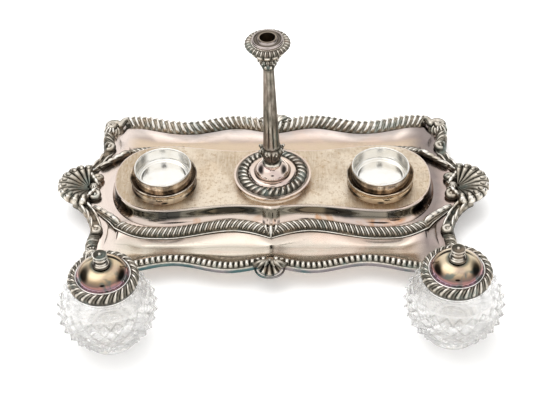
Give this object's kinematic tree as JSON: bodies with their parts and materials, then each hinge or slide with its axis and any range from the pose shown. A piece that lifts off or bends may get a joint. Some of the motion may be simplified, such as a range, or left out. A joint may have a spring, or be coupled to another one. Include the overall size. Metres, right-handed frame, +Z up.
{
  "type": "inkstand",
  "caption": "Silver-plated inkstand: gadrooned tray with shell handles, pen troughs, bottle holders, lift-out taperstick and hobnail-cut glass ink bottles with loose lids.",
  "frame": {"origin": "on the table, at the middle of the whole set's box: the tray stands 36.7 mm behind it and the two bottles in front", "axes": "+X along the tray to its right shell handle, +Y to the back, +Z up"},
  "size_m": [0.3174, 0.2514, 0.1555],
  "materials": {
    "polished_plate": "polished silver plate with a warm tarnish",
    "satin_plate": "worn satin silver plate with a sandy patina",
    "bright_plate": "bright polished silver plate",
    "aged_casting": "cast silver plate, dark in the hollows and bright on the edges",
    "brass_parts": "dull brass",
    "cut_glass": "clear hobnail-cut glass"
  },
  "bodies": {
    "inkstand": {"tray_pan": "polished_plate", "border_front": "aged_casting", "border_back": "aged_casting", "side_scroll_front_left": "aged_casting", "side_scroll_front_right": "aged_casting", "side_scroll_back_left": "aged_casting", "side_scroll_back_right": "aged_casting", "corner_knob_front_left": "aged_casting", "corner_knob_front_right": "aged_casting", "corner_knob_back_left": "aged_casting", "corner_knob_back_right": "aged_casting", "shell_handle_left": "aged_casting", "shell_handle_right": "aged_casting", "shell_volutes_left": "aged_casting", "shell_volutes_right": "aged_casting", "centre_boss_front": "aged_casting", "centre_boss_back": "aged_casting", "deck_band_front": "aged_casting", "deck_band_back": "aged_casting", "foot_front_left": "aged_casting", "foot_front_right": "aged_casting", "foot_back_left": "aged_casting", "foot_back_right": "aged_casting", "platform": "satin_plate", "holder_foot_left": "polished_plate", "holder_foot_right": "polished_plate", "holder_cup_left": "bright_plate", "holder_cup_right": "bright_plate", "taper_seat": "polished_plate"},
    "taperstick": {"taper_base": "polished_plate", "taper_base_gadroon": "aged_casting", "taper_leaf_cup": "aged_casting", "taper_stem": "aged_casting", "taper_capital": "aged_casting", "taper_tie_rod": "brass_parts", "taper_nut": "brass_parts"},
    "nozzle": {"nozzle_cup": "aged_casting", "nozzle_drip_pan": "aged_casting", "nozzle_rim": "polished_plate", "candle_socket": "brass_parts"},
    "bottle_left": {"bottle_glass_left": "cut_glass"},
    "lid_left": {"lid_dome_left": "polished_plate", "lid_rim_left": "aged_casting", "lid_sleeve_left": "polished_plate", "finial_left": "aged_casting", "finial_nut_left": "brass_parts"},
    "bottle_right": {"bottle_glass_right": "cut_glass"},
    "lid_right": {"lid_dome_right": "polished_plate", "lid_rim_right": "aged_casting", "lid_sleeve_right": "polished_plate", "finial_right": "aged_casting", "finial_nut_right": "brass_parts"}
  },
  "joints": [
    {"name": "taperstick_lift", "type": "slide", "parent": "inkstand", "child": "taperstick", "axis": [0, 0, 1], "range_m": [0, 0.05]},
    {"name": "nozzle_lift", "type": "slide", "parent": "taperstick", "child": "nozzle", "axis": [0, 0, 1], "range_m": [0, 0.03]},
    {"name": "bottle_left_lift", "type": "slide", "parent": "inkstand", "child": "bottle_left", "axis": [0, 0, 1], "range_m": [0, 0.06]},
    {"name": "lid_left_lift", "type": "slide", "parent": "bottle_left", "child": "lid_left", "axis": [0, 0, 1], "range_m": [0, 0.05]},
    {"name": "bottle_right_lift", "type": "slide", "parent": "inkstand", "child": "bottle_right", "axis": [0, 0, 1], "range_m": [0, 0.06]},
    {"name": "lid_right_lift", "type": "slide", "parent": "bottle_right", "child": "lid_right", "axis": [0, 0, 1], "range_m": [0, 0.05]}
  ]
}
